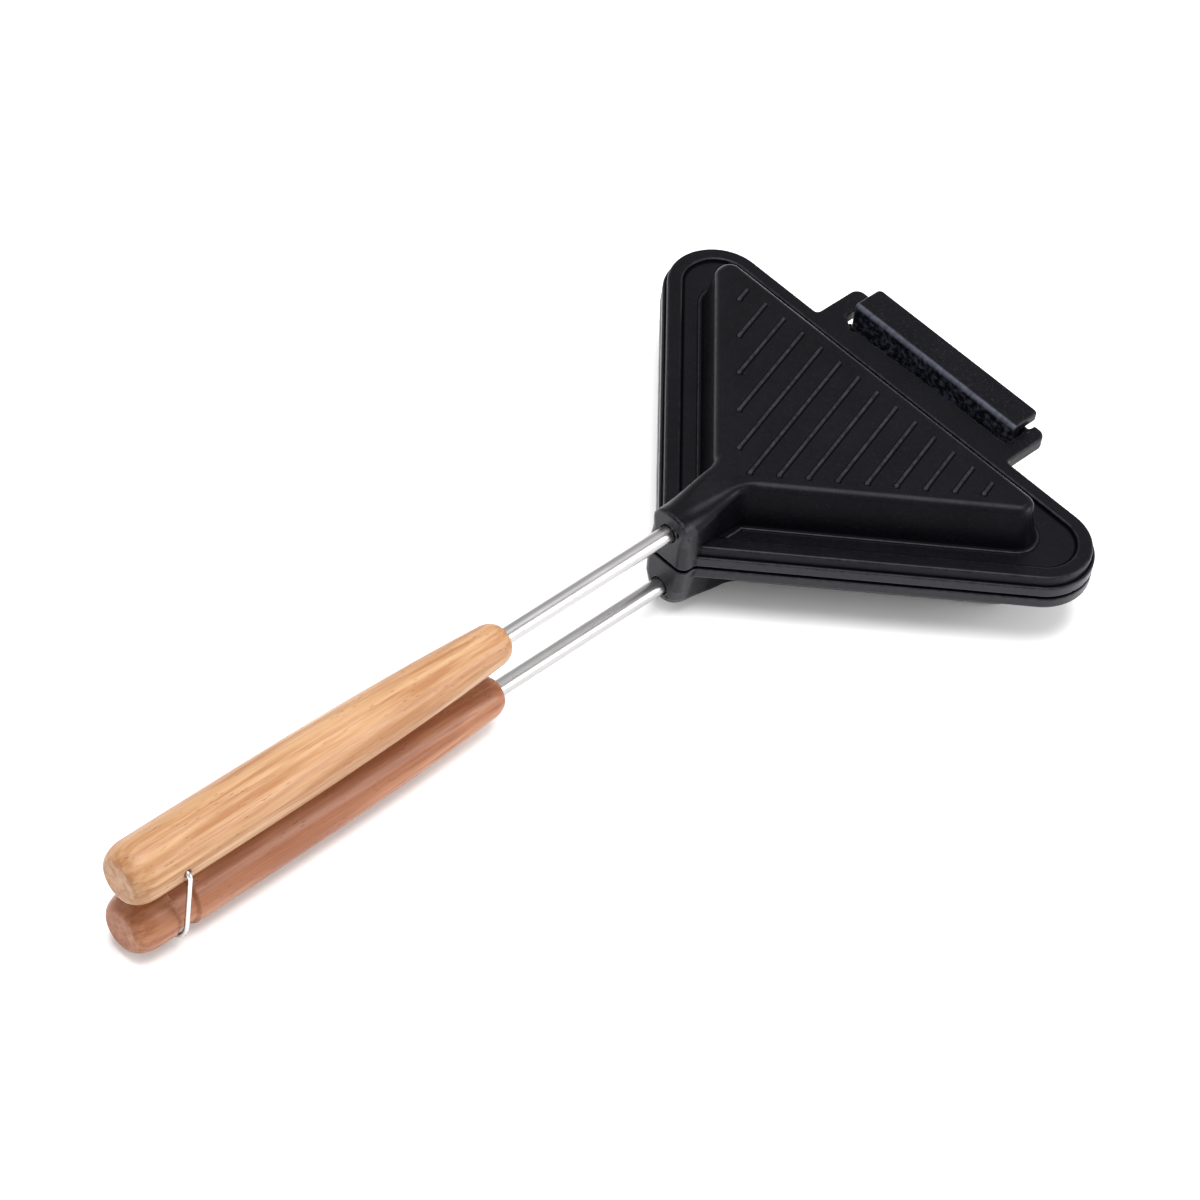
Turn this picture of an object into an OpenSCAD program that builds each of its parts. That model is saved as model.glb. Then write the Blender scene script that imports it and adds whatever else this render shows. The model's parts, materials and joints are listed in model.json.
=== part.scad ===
// Triangular pie iron: two hinged cast plates on steel rods with turned wooden handles
// and a wire ring that holds the handles shut.
// X runs from the hinge to the handles, Z is up, and Z = 0 is where the lower plate's ribs stand.
// The origin is below the centre of the whole length. Sizes are in millimetres.

/* [Plates] */
// Depth from the hinge edge to the point where the rim's two straight legs would meet
rim_depth = 100; // [90:1:120]
// Radius of the rim's two corners at the hinge edge
corner_r = 14.7; // [12:0.1:18]
// Radius of the rim's third corner, inside the socket
tip_r = 10; // [9:0.5:12]
// Width of the raised rim
rim_w = 4.5; // [3:0.1:6]
// Height of the raised rim above the upper plate's flange
rim_h = 3.2; // [2:0.1:5]
// Depth of the track inside the raised rim
track_depth = 1; // [0.4:0.1:1.6]
// Distance from the middle of the closed gap to the outer face of a flange
flange_t = 3.9; // [3:0.1:6]
// Step by which a flange stands out past the rim
ledge = 1.1; // [0.4:0.1:2]
// Gap between the closed plates
plate_gap = 0.4; // [0.2:0.1:1]

/* [Pockets] */
// Distance from the middle of the closed gap to a pocket's outer face
pocket_h = 19.9; // [17.5:0.1:26]
// Inset of a pocket's face from the rim's legs
pocket_inset = 12.9; // [11:0.1:15]
// Inset of a pocket's face from the hinge edge
pocket_back_inset = 15.2; // [14:0.1:20]
// Corner radius of a pocket's face
pocket_corner_r = 3.8; // [3.5:0.1:6]
// Rounding of a pocket's outer edges
pocket_edge_r = 2.2; // [1:0.1:3]
// Rounding of a pocket's inner edges
cavity_edge_r = 1.1; // [0.6:0.1:1.5]
// Draft angle of a pocket's walls
pocket_draft = 10.6; // [6:0.1:14]
// Wall thickness of a pocket
wall_t = 2.8; // [2:0.1:3.2]
// Width of the bead round a pocket's foot
bead_w = 1.2; // [0.6:0.1:2]
// Height of that bead
bead_h = 0.5; // [0.3:0.1:0.9]

/* [Ribs] */
// Spacing of the ribs along the hinge edge
rib_pitch = 7.45; // [5:0.05:10]
// Length of the shortest rib that fits beside a corner of the pocket's face
rib_min_len = 4; // [3:0.1:8]
// Width of a rib
rib_w = 1.8; // [1:0.1:2.6]
// Height of a rib
rib_h = 0.5; // [0.3:0.1:0.8]
// Angle between the ribs and the handles
rib_slant = 16.2; // [5:0.1:25]
// Gap between the pocket's hinge-side edge and the ribs
rib_back_gap = 4.6; // [2.6:0.1:6]
// Gap between one leg of the pocket's face and the ribs that end there
rib_gap_a = 5.6; // [3:0.1:8]
// Gap between the other leg of the pocket's face and its ribs
rib_gap_b = 3.4; // [3:0.1:8]

/* [Sockets] */
// Distance from the rim's virtual point back to the end face of a socket
socket_setback = 1.2; // [0:0.1:4]
// Step from a pocket's outer face down to a socket's
socket_drop = 2.1; // [0:0.1:2.6]
// Width of a socket at the closed gap
socket_w = 15.2; // [14:0.1:18]
// Draft angle of a socket's sides
socket_draft = 4.5; // [3:0.1:8]
// Rounding of a socket's long edges
socket_edge_r = 5.4; // [1:0.1:5.4]
// Rounding of a socket's upright end corners
socket_corner_r = 2.8; // [1:0.1:3]
// Rounding of the upper socket's end edge
upper_nose_r = 1; // [0.6:0.1:3]
// Rounding of the lower socket's end edge
lower_nose_r = 5.4; // [1:0.1:6]
// Extra width of the bead beside a socket
socket_bead_w = 1.8; // [1:0.1:3]

/* [Hinge] */
// Shift of the hinge's middle along the hinge edge, as cast
hinge_shift = 0.8; // [-1:0.1:1]
// Length of the upper plate's hinge tab
tab_len = 75; // [70:1:84]
// How far the tab reaches out from the hinge edge
tab_reach = 15.6; // [14:0.1:19]
// Thickness of the tab, and of the round bar between its arms
tab_t = 4.4; // [3.6:0.1:5.2]
// Radius of the tab's outer corners
tab_corner_r = 3; // [1:0.1:4]
// Gap from the hinge edge to the slot in the tab
slot_back = 3.2; // [2:0.1:4]
// Length of the lower plate's hook
hook_len = 63; // [50:1:64]
// Gap between an end of the hook and the slot
slot_end_gap = 1.5; // [0.6:0.1:2]
// Gap between the hook's web and the hinge bar
bar_gap = 0.35; // [0.3:0.05:0.6]
// Gap between the tab and the hook's leg
hook_gap = 0.9; // [0.4:0.1:1.4]
// Thickness of the hook's web
web_t = 2.4; // [2:0.1:3]
// Thickness of the hook's leg
leg_t = 3.1; // [2.8:0.1:4]
// How far the hook's leg reaches past the tab
hook_lip = 2.6; // [0.5:0.1:4]
// Rounding of the hook's leg
hook_edge_r = 1.3; // [0.6:0.1:1.3]

/* [Rods] */
// Diameter of a rod
rod_d = 5; // [4:0.1:6]
// Distance between the axes of the two rods
rod_spacing = 21.2; // [19:0.1:24]
// Bare length of rod between socket and handle
rod_bare = 61.7; // [40:0.1:140]
// Length of rod inside its socket
rod_in_socket = 16.5; // [12:0.5:17]
// Length of rod inside its handle
rod_in_handle = 60; // [40:1:90]
// Diameter of the lock pin across each rod
pin_d = 2; // [1.6:0.1:2.4]
// Depth to which a lock pin bites into its rod
pin_bite = 0.4; // [0.2:0.1:0.6]
// Distance from a socket's end face to its lock pin
pin_setback = 4.2; // [3.9:0.1:6]
// Depth of a lock pin's ends below the socket's sides
pin_sunk = 0.8; // [0.6:0.1:1.2]

/* [Handles] */
// Length of a handle
handle_len = 134.5; // [120:0.5:160]
// Diameter of a handle at its front end
handle_front_d = 11.8; // [10:0.1:14]
// Diameter of a handle at its rear end
handle_rear_d = 17.8; // [16:0.1:18.4]
// How fast the handle widens from the front
handle_swell = 3.3; // [2:0.1:5]
// Length of the rounding at the front end
front_round_l = 2.6; // [1:0.1:4]
// Depth of the rounding at the front end
front_round_d = 1.8; // [1:0.1:2]
// Length of the rounding at the rear end
rear_round_l = 7; // [4:0.1:9]
// Depth of the rounding at the rear end
rear_round_d = 3.7; // [2:0.1:4.5]

/* [Latch ring] */
// Diameter of the ring's wire
wire_d = 1.4; // [1:0.1:1.8]
// Diameter of the cross hole for the wire
wire_hole_d = 2.6; // [2.2:0.1:3.4]
// Distance from a handle's rear end to the ring
ring_setback = 15.7; // [12:0.1:24]
// Gap between the ring's legs and the handles
ring_leg_gap = 0.25; // [0.2:0.05:0.6]
// Gap between the ring and the bottom of the groove it rests in
ring_seat_gap = 0.1; // [0.05:0.05:0.3]
// Radius of the ring's two upper bends
ring_bend_r = 1.6; // [1:0.1:2]
// Width of the turned groove in the lower handle
groove_w = 7; // [5:0.5:10]
// Depth of that groove
groove_depth = 0.95; // [0.5:0.05:1.2]
// Shift of the groove's middle from the ring towards the plates
groove_shift = 2.2; // [0:0.1:2.5]

/* [Hidden] */
$fn = 64;
eps = 0.01;
plate_colour = "#2b2c31";
steel_colour = "#c9c9cb";
upper_wood_colour = "#e3b98c";
lower_wood_colour = "#c48a62";

// Unit step across a leg, for legs at 45 degrees
leg_n = sqrt(0.5);
// Height of the closed gap's middle above the surface
mid_z = pocket_h + rib_h;
// Heights below are measured from the middle of the gap
rim_top = flange_t + rim_h;
socket_h = pocket_h - socket_drop;
rod_h = rod_spacing / 2;
bar_r = tab_t / 2;
bar_h = rim_top - bar_r;
bar_x = bar_r - tab_reach;
leg_under_h = rim_top + hook_gap;
web_out_x = bar_x + bar_r + bar_gap;
hook_near_x = web_out_x + web_t;
hook_out_x = -tab_reach - hook_lip;

// Places along X, measured from the hinge edge
socket_end_x = rim_depth - socket_setback;
handle_front_x = socket_end_x + rod_bare;
handle_end_x = handle_front_x + handle_len;
ring_x = handle_end_x - ring_setback;
centre_x = (handle_end_x + hook_out_x) / 2;

// Centres of the corner arcs of the rim and of the pocket
rim_side_y = rim_depth - corner_r * (1 + sqrt(2));
rim_tip_x = rim_depth - tip_r * sqrt(2);
pocket_tip = rim_depth - pocket_inset * sqrt(2);
pocket_back_x = pocket_back_inset + pocket_corner_r;
pocket_side_y = pocket_tip - pocket_back_inset - pocket_corner_r * (1 + sqrt(2));
pocket_tip_x = pocket_tip - pocket_corner_r * sqrt(2);
cavity_h = pocket_h - wall_t;
cavity_corner_r = pocket_corner_r + wall_t * tan(pocket_draft) - wall_t / cos(pocket_draft);

// Line on which the ribs start, and its distances along X to the lines at which they end
rib_start_x = pocket_back_inset + rib_back_gap + rib_w / 2;
rib_room_a = pocket_tip - (rib_gap_a + rib_w / 2) * sqrt(2) - rib_start_x;
rib_room_b = pocket_tip - (rib_gap_b + rib_w / 2) * sqrt(2) - rib_start_x;
// Change of that room for each unit of a rib's length, at the two ends of the row
rib_rate_a = cos(rib_slant) - sin(rib_slant);
rib_rate_b = cos(rib_slant) + sin(rib_slant);
// Half the length of the row, and the number of ribs in it
rib_row_half = min(rib_room_a - rib_min_len * rib_rate_a, rib_room_b - rib_min_len * rib_rate_b);
rib_count = floor(2 * rib_row_half / rib_pitch) + 1;

// Handle radius at a share t of its length, before the ends are rounded
function handle_r(t) = (handle_front_d + (handle_rear_d - handle_front_d) * (1 - pow(1 - t, handle_swell))) / 2;
ring_share = 1 - ring_setback / handle_len;
ring_half_w = handle_r(ring_share) + ring_leg_gap + wire_d / 2;
groove_r = handle_r(ring_share) - groove_depth;
// Depth of the ring's lowest centre line below the upper rod's axis
ring_drop = rod_spacing + groove_r + ring_seat_gap + wire_d / 2;

// Points of a drafted side that ends in a rounded upper edge
function drafted_edge(half, top, draft, r, steps = 5) =
    [for (i = [0:steps]) let (a = draft + (90 - draft) * i / steps)
        [half - r * (1 - sin(draft)) / cos(draft) + r * cos(a), top - r + r * sin(a)]];

// Triangle with three rounded corners, its back edge along Y
module rounded_triangle(back_x, side_y, tip_x, back_r, point_r) {
    polygon([[back_x - back_r, -side_y], [back_x - back_r, side_y],
        [back_x + back_r * leg_n, side_y + back_r * leg_n],
        [tip_x + point_r * leg_n, point_r * leg_n],
        [tip_x + point_r * leg_n, -point_r * leg_n],
        [back_x + back_r * leg_n, -side_y - back_r * leg_n]]);
    for (s = [-1, 1]) translate([back_x, s * side_y]) circle(r = back_r);
    translate([tip_x, 0]) circle(r = point_r);
}

// Rim outline, moved in by a distance
module rim_outline(inset) {
    rounded_triangle(corner_r, rim_side_y, rim_tip_x, corner_r - inset, tip_r - inset);
}

// Pocket outline at a height, moved out by a distance
module pocket_outline(h, out) {
    r = pocket_corner_r + (pocket_h - h) * tan(pocket_draft) + out;
    rounded_triangle(pocket_back_x, pocket_side_y, pocket_tip_x, r, r);
}

// Drafted triangular block with rounded upper edges, from height low to height top
module drafted_block(corner, low, top, edge_r) {
    hull() for (c = [[pocket_back_x, -pocket_side_y], [pocket_back_x, pocket_side_y], [pocket_tip_x, 0]])
        translate([c[0], c[1], 0])
            rotate_extrude($fn = 32)
                polygon(concat([[0, low], [corner + (top - low) * tan(pocket_draft), low]],
                    drafted_edge(corner, top, pocket_draft, edge_r), [[0, top]]));
}

// All ribs as flat bars with round ends, from height low to height top
module ribs(low, top) {
    translate([0, 0, low]) linear_extrude(top - low)
        for (i = [0:rib_count - 1]) {
            y = (i - (rib_count - 1) / 2) * rib_pitch;
            len = min((rib_room_a + y) / rib_rate_a, (rib_room_b - y) / rib_rate_b);
            translate([rib_start_x, y]) rotate(rib_slant) {
                translate([0, -rib_w / 2]) square([len, rib_w]);
                circle(d = rib_w, $fn = 24);
                translate([len, 0]) circle(d = rib_w, $fn = 24);
            }
        }
}

// Socket block at the plate's point, rounded at its long edges, end corners and end edge
module socket(nose_r) {
    half = socket_w / 2;
    length = socket_end_x - pocket_tip_x;
    top_half = half - socket_h * tan(socket_draft);
    side = concat([[half, plate_gap / 2]], drafted_edge(top_half, socket_h, socket_draft, socket_edge_r));
    intersection() {
        translate([pocket_tip_x, 0, 0]) rotate([90, 0, 90]) linear_extrude(length)
            polygon(concat(side, [for (i = [len(side) - 1:-1:0]) [-side[i][0], side[i][1]]]));
        linear_extrude(socket_h) {
            translate([pocket_tip_x, -half]) square([length - socket_corner_r, socket_w]);
            translate([pocket_tip_x, -half + socket_corner_r])
                square([length, socket_w - 2 * socket_corner_r]);
            for (s = [-1, 1]) translate([socket_end_x - socket_corner_r, s * (half - socket_corner_r)])
                circle(r = socket_corner_r);
        }
        translate([0, half, 0]) rotate([90, 0, 0]) linear_extrude(socket_w) {
            translate([pocket_tip_x, 0]) square([length - nose_r, socket_h]);
            translate([pocket_tip_x, 0]) square([length, socket_h - nose_r]);
            translate([socket_end_x - nose_r, socket_h - nose_r]) circle(r = nose_r);
        }
    }
}

// Bead round the pocket's foot and beside the socket, standing on a face at height h
module foot_bead(h) {
    socket_half = socket_w / 2 - h * tan(socket_draft) + socket_bead_w;
    translate([0, 0, h - bead_h]) linear_extrude(2 * bead_h) {
        pocket_outline(h, bead_w);
        intersection() {
            rim_outline(0);
            translate([pocket_tip_x, -socket_half]) square([rim_depth - pocket_tip_x, 2 * socket_half]);
        }
    }
}

// One cast half seen from its outside, with its gap face down, before the hinge is added
module plate_half(rimmed, nose_r) {
    face_h = rimmed ? rim_top - track_depth : flange_t;
    difference() {
        union() {
            translate([0, 0, plate_gap / 2]) linear_extrude(flange_t - plate_gap / 2) rim_outline(-ledge);
            if (rimmed) {
                linear_extrude(face_h) rim_outline(eps);
                translate([0, 0, plate_gap / 2]) linear_extrude(rim_top - plate_gap / 2) difference() {
                    rim_outline(0);
                    rim_outline(rim_w);
                }
            }
            foot_bead(face_h);
            drafted_block(pocket_corner_r, flange_t - eps, pocket_h, pocket_edge_r);
            ribs(pocket_h - eps, pocket_h + rib_h);
            socket(nose_r);
        }
        drafted_block(cavity_corner_r, -1, cavity_h, cavity_edge_r);
        ribs(cavity_h - 1, cavity_h + rib_h);
        translate([socket_end_x - rod_in_socket, 0, rod_h]) rotate([0, 90, 0])
            cylinder(d = rod_d, h = rod_in_socket + 1);
        lock_pin_shape(socket_w);
        // Everything below the gap face is open
        translate([-rim_depth, -rim_depth, -rim_depth + plate_gap / 2]) cube([3 * rim_depth, 2 * rim_depth, rim_depth]);
    }
}

// Round bar across a socket that bites into the rod's outer side
module lock_pin_shape(length) {
    translate([socket_end_x - pin_setback, length / 2, rod_h + (rod_d + pin_d) / 2 - pin_bite])
        rotate([90, 0, 0]) cylinder(d = pin_d, h = length, $fn = 32);
}

// Lock pin cut to end below the socket's sides
module lock_pin() {
    pin_h = rod_h + (rod_d + pin_d) / 2 - pin_bite;
    lock_pin_shape(socket_w - 2 * (pin_h + pin_d / 2) * tan(socket_draft) - 2 * pin_sunk);
}

// Hinge tab of the upper plate, without its slot
module tab() {
    half = tab_len / 2;
    length = tab_reach + rim_w / 2;
    translate([0, hinge_shift, rim_top - tab_t]) linear_extrude(tab_t) {
        translate([tab_corner_r - tab_reach, -half]) square([length - tab_corner_r, tab_len]);
        translate([-tab_reach, tab_corner_r - half]) square([length, tab_len - 2 * tab_corner_r]);
        for (s = [-1, 1]) translate([tab_corner_r - tab_reach, s * (half - tab_corner_r)])
            circle(r = tab_corner_r);
    }
}

// Opening in the tab, from its slot out past the bar
module tab_slot() {
    half = hook_len / 2 + slot_end_gap;
    translate([-2 * tab_reach, hinge_shift - half, rim_top - tab_t - 1])
        cube([2 * tab_reach - slot_back, 2 * half, tab_t + 2]);
}

// Round hinge bar between the tab's arms
module hinge_bar() {
    length = hook_len + 2 * slot_end_gap + 2 * eps;
    translate([bar_x, hinge_shift + length / 2, bar_h]) rotate([90, 0, 0]) cylinder(r = bar_r, h = length);
}

// Rectangle with round corners between two points
module rounded_box(low, high, r) {
    size = high - low;
    translate(low + [r, 0]) square([size[0] - 2 * r, size[1]]);
    translate(low + [0, r]) square([size[0], size[1] - 2 * r]);
    for (x = [low[0] + r, high[0] - r], y = [low[1] + r, high[1] - r]) translate([x, y]) circle(r = r, $fn = 32);
}

// Hook of the lower plate: an arm under the tab, a web through the slot and a leg over the bar
module hook() {
    translate([0, hinge_shift + hook_len / 2, 0]) rotate([90, 0, 0]) linear_extrude(hook_len) {
        translate([web_out_x, -flange_t]) square([pocket_back_inset / 2 - web_out_x, flange_t - plate_gap / 2]);
        translate([web_out_x, -flange_t]) square([web_t, leg_under_h + leg_t / 2 + flange_t]);
        rounded_box([hook_out_x, leg_under_h], [hook_near_x, leg_under_h + leg_t], hook_edge_r);
    }
}

// Turned handle lying along X with its front end at the origin
module handle_shape() {
    steps = 12;
    front_t = front_round_l / handle_len;
    rear_t = 1 - rear_round_l / handle_len;
    front = [for (a = [0:18:90]) [handle_r(front_t) - front_round_d * (1 - sin(a)), front_round_l * (1 - cos(a))]];
    barrel = [for (i = [1:steps - 1]) let (t = front_t + (rear_t - front_t) * i / steps)
        [handle_r(t), t * handle_len]];
    rear = [for (a = [0:15:90]) [handle_r(rear_t) - rear_round_d * (1 - cos(a)),
        handle_len - rear_round_l * (1 - sin(a))]];
    rotate([0, 90, 0]) rotate_extrude() polygon(concat([[0, 0]], front, barrel, rear, [[0, handle_len]]));
}

// Rod lying along X at its own height, notched for its lock pin
module rod_shape() {
    difference() {
        translate([socket_end_x - rod_in_socket, 0, rod_h]) rotate([0, 90, 0])
            cylinder(d = rod_d, h = rod_in_socket + rod_bare + rod_in_handle);
        lock_pin_shape(socket_w);
    }
}

// Handle in its place, with the rod's hole
module handle_on_rod() {
    translate([handle_front_x, 0, rod_h]) difference() {
        handle_shape();
        translate([-1, 0, 0]) rotate([0, 90, 0]) cylinder(d = rod_d, h = rod_in_handle + 1);
    }
}

// Moves a shape from the hinge edge and the closed gap into the part's frame
module placed(upper) {
    translate([-centre_x, 0, mid_z]) {
        if (upper) children();
        else mirror([0, 0, 1]) children();
    }
}

// Upper cast plate with the hinge tab
module upper_plate() {
    color(plate_colour) placed(true) {
        difference() {
            union() {
                plate_half(true, upper_nose_r);
                tab();
            }
            tab_slot();
        }
        hinge_bar();
    }
}

// Lower cast plate with the hinge hook
module lower_plate() {
    color(plate_colour) {
        placed(false) plate_half(false, lower_nose_r);
        placed(true) hook();
    }
}

// Steel rod of the upper half
module upper_rod() {
    color(steel_colour) placed(true) rod_shape();
}

// Steel rod of the lower half
module lower_rod() {
    color(steel_colour) placed(false) rod_shape();
}

// Pin that locks the upper rod in its socket
module upper_lock_pin() {
    color(steel_colour) placed(true) lock_pin();
}

// Pin that locks the lower rod in its socket
module lower_lock_pin() {
    color(steel_colour) placed(false) lock_pin();
}

// Upper handle with the cross hole for the ring
module upper_handle() {
    color(upper_wood_colour) placed(true) difference() {
        handle_on_rod();
        translate([ring_x, handle_rear_d, rod_h]) rotate([90, 0, 0])
            cylinder(d = wire_hole_d, h = 2 * handle_rear_d, $fn = 32);
    }
}

// Lower handle with the turned groove for the ring
module lower_handle() {
    color(lower_wood_colour) placed(false) difference() {
        handle_on_rod();
        translate([ring_x - groove_shift - groove_w / 2, 0, rod_h]) rotate([0, 90, 0]) difference() {
            cylinder(d = 2 * handle_rear_d, h = groove_w);
            translate([0, 0, -1]) cylinder(r = groove_r, h = groove_w + 2);
        }
    }
}

// Wire ring that hangs from the upper handle and holds the lower one
module latch_ring() {
    leg_top = rod_h - ring_bend_r;
    leg_low = rod_h - ring_drop + ring_half_w;
    color(steel_colour) placed(true) translate([ring_x, 0, 0]) {
        for (s = [-1, 1]) translate([0, s * ring_half_w, leg_low])
            cylinder(d = wire_d, h = leg_top - leg_low, $fn = 32);
        translate([0, ring_half_w - ring_bend_r, rod_h]) rotate([90, 0, 0])
            cylinder(d = wire_d, h = 2 * (ring_half_w - ring_bend_r), $fn = 32);
        for (s = [0, 1]) mirror([0, s, 0]) translate([0, ring_half_w - ring_bend_r, leg_top])
            rotate([90, 0, 90]) rotate_extrude(angle = 90) translate([ring_bend_r, 0]) circle(d = wire_d, $fn = 32);
        translate([0, 0, leg_low]) rotate([90, 180, 90]) rotate_extrude(angle = 180)
            translate([ring_half_w, 0]) circle(d = wire_d, $fn = 32);
    }
}

upper_plate();
lower_plate();
upper_rod();
lower_rod();
upper_lock_pin();
lower_lock_pin();
upper_handle();
lower_handle();
latch_ring();
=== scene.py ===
"""Triangular pie iron.

Two hinged cast plates, steel rods, turned beech handles and a wire latch.
"""

import json
import math

import bpy
import numpy as np
from mathutils import Matrix, Vector

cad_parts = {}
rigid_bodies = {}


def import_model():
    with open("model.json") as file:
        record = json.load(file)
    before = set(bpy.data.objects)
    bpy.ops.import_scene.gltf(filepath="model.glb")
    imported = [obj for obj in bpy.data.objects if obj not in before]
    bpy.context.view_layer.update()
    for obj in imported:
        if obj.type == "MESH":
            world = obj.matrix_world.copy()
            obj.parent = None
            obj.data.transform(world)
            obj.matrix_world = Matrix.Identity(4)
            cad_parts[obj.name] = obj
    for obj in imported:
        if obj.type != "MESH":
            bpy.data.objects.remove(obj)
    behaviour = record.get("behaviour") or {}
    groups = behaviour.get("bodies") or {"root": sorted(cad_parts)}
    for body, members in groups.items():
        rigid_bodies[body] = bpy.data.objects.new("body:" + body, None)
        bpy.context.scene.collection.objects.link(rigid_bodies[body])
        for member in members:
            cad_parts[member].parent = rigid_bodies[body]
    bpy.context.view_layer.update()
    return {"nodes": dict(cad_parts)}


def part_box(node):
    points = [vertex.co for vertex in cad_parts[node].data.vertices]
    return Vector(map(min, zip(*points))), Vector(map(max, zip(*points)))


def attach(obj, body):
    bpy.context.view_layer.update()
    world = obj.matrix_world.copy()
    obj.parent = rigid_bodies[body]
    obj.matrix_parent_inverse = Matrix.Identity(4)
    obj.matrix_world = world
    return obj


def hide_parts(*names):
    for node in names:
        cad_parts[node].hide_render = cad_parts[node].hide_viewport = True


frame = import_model()

MM = 0.001

# ---------------------------------------------------------------- sizes in millimetres
# Plates are described from the hinge edge (x = 0) and the middle of the closed gap (h = 0),
# with h growing outwards on either half.
HINGE_EDGE_X = -138.4
GAP_MIDDLE_Z = 20.4

RIM_DEPTH, RIM_CORNER_R, RIM_TIP_R = 100.0, 14.7, 10.0
RIM_WIDTH, RIM_TOP, TRACK_DEPTH = 4.5, 7.1, 1.0
FLANGE_TOP, LEDGE, HALF_GAP = 3.9, 1.1, 0.2
PARTING_OPENS, PARTING_START, PARTING_RUN = 0.42, -2.2, 3.0

POCKET_TOP, POCKET_INSET, POCKET_BACK_INSET = 19.9, 12.9, 15.2
POCKET_CORNER_R, POCKET_EDGE_R, POCKET_DRAFT = 3.8, 1.5, math.radians(10.6)
POCKET_LEG_EDGE_R = 2.3
WALL, CAVITY_EDGE_R = 2.8, 1.1
BEAD_WIDTH, BEAD_HEIGHT = 1.2, 0.5

RIB_PITCH, RIB_WIDTH, RIB_HEIGHT, RIB_COUNT = 7.45, 1.8, 0.5, 14
RIB_SLANT = math.radians(16.2)
RIB_BACK_GAP, RIB_GAP_A, RIB_GAP_B = 4.6, 5.6, 3.4
RIB_CREST_WIDTH, RIB_SHIFT, RIB_SECTION_POINTS = 1.0, -0.7, 17

SOCKET_END, SOCKET_TOP, SOCKET_WIDTH, SOCKET_DRAFT = 98.8, 17.8, 15.2, math.radians(4.5)
SOCKET_EDGE_R, SOCKET_CORNER_R, SOCKET_BEAD = 5.4, 2.8, 1.8
SOCKET_JOIN_R, SOCKET_ROOT, UPPER_NOSE_R = 1.7, 12.0, 1.0
NOSE_LOW, NOSE_RUN = 9.0, 5.0
ROD_H, ROD_D, ROD_BORE_GAP, ROD_BORE_DEPTH = 10.6, 5.0, 0.3, 6.0
STAKE_MARKS, STAKE_R, STAKE_STRETCH = ((98.9, 3.4, 12.6), (97.2, 7.0, 12.4)), 0.6, 1.5
LUMP_PLACE, LUMP_SIZE = (97.9, 2.6, 16.8), (0.9, 2.2, 0.75)

# The hinge as cast isn't quite even: its left and right ends are given one by one
TAB_LEFT, TAB_RIGHT, TAB_THICK, TAB_CORNER_R = -38.2, 37.65, 4.4, 3.0
TAB_REACH, ARM_REACH = 15.6, 17.0
SLOT_LEFT, SLOT_RIGHT, SLOT_DRAFT = -32.0, 32.6, 0.1
SLOT_NEAR, SLOT_CLOSES, SLOT_CORNER_CUT = -3.3, 1.6, 2.1
SLOT_WAVES = ((0.1, 0.9, 0.5), (0.08, 2.3, 1.0), (0.05, 5.1, 0.0))
NOTCH_PLACE, NOTCH_SIZE = (-3.6, -26.9), (1.1, 1.0)
BAR_X, BAR_H, BAR_R = -13.4, 4.9, 2.2
HOOK_LEFT, HOOK_RIGHT, ARM_LEFT = -31.2, 32.1, -33.9
HOOK_OUT, HOOK_WEB_FAR, HOOK_WEB_NEAR = -18.6, -10.85, -7.85
HOOK_EDGE_R, HOOK_LEG_R, HOOK_CORNER_R = 0.4, 0.8, 1.8
LEG_UNDER, LEG_TOP = 8.0, 11.1

HANDLE_FRONT_X, HANDLE_LENGTH = 160.5, 134.5
HANDLE_FRONT_R, HANDLE_REAR_R, HANDLE_SWELL = 5.9, 8.9, 3.3
HANDLE_FRONT_SHORT, LOWER_REAR_SHORT = 0.8, 1.8
BORE_DEPTH, BORE_GAP, PINHOLE_R = 60.0, 0.02, 0.1
TURNING_RINGS, TURNING_SIDES, BORE_SIDES, HOLE_SIDES = 420, 96, 64, 48
WIRE_SIDES, WIRE_BEND_STEPS = 24, 24
RING_X, WIRE_R, HOLE_R = 279.3, 0.7, 1.3
GROOVE_DEPTH, GROOVE_WIDTH, GROOVE_SHIFT = 0.95, 7.0, 2.2

LEG_N = math.sqrt(0.5)
POCKET_POINT = RIM_DEPTH - POCKET_INSET * math.sqrt(2)
POCKET_BACK = POCKET_BACK_INSET + POCKET_CORNER_R
POCKET_SIDE = POCKET_POINT - POCKET_BACK_INSET - POCKET_CORNER_R * (1 + math.sqrt(2))
POCKET_TIP = POCKET_POINT - POCKET_CORNER_R * math.sqrt(2)


# ---------------------------------------------------------------- small helpers
def mesh_object(name, points, faces):
    """Object from points in millimetres and faces of four corners each."""
    mesh = bpy.data.meshes.new(name)
    mesh.vertices.add(len(points))
    mesh.vertices.foreach_set("co", (points * MM).astype(np.float32).ravel())
    mesh.loops.add(faces.size)
    mesh.loops.foreach_set("vertex_index", faces.astype(np.int32).ravel())
    mesh.polygons.add(len(faces))
    mesh.polygons.foreach_set("loop_start", np.arange(0, faces.size, 4, dtype=np.int32))
    mesh.update(calc_edges=True)
    mesh.validate()
    obj = bpy.data.objects.new(name, mesh)
    bpy.context.scene.collection.objects.link(obj)
    return obj


def plain_mesh(obj):
    """Turns an object's modifiers into plain mesh."""
    bpy.context.view_layer.update()
    evaluated = obj.evaluated_get(bpy.context.evaluated_depsgraph_get())
    mesh = bpy.data.meshes.new_from_object(evaluated)
    obj.modifiers.clear()
    obj.data = mesh
    return obj


# ---------------------------------------------------------------- casting shapes
def union(a, b, fillet):
    """Union of two distances, with a fillet of that radius where they meet."""
    return np.maximum(fillet, np.minimum(a, b)) - np.hypot(
        np.maximum(fillet - a, 0), np.maximum(fillet - b, 0))


def both(a, b, rounding):
    """Intersection of two distances, with the edge where they meet rounded."""
    return -union(-a, -b, rounding)


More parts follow.
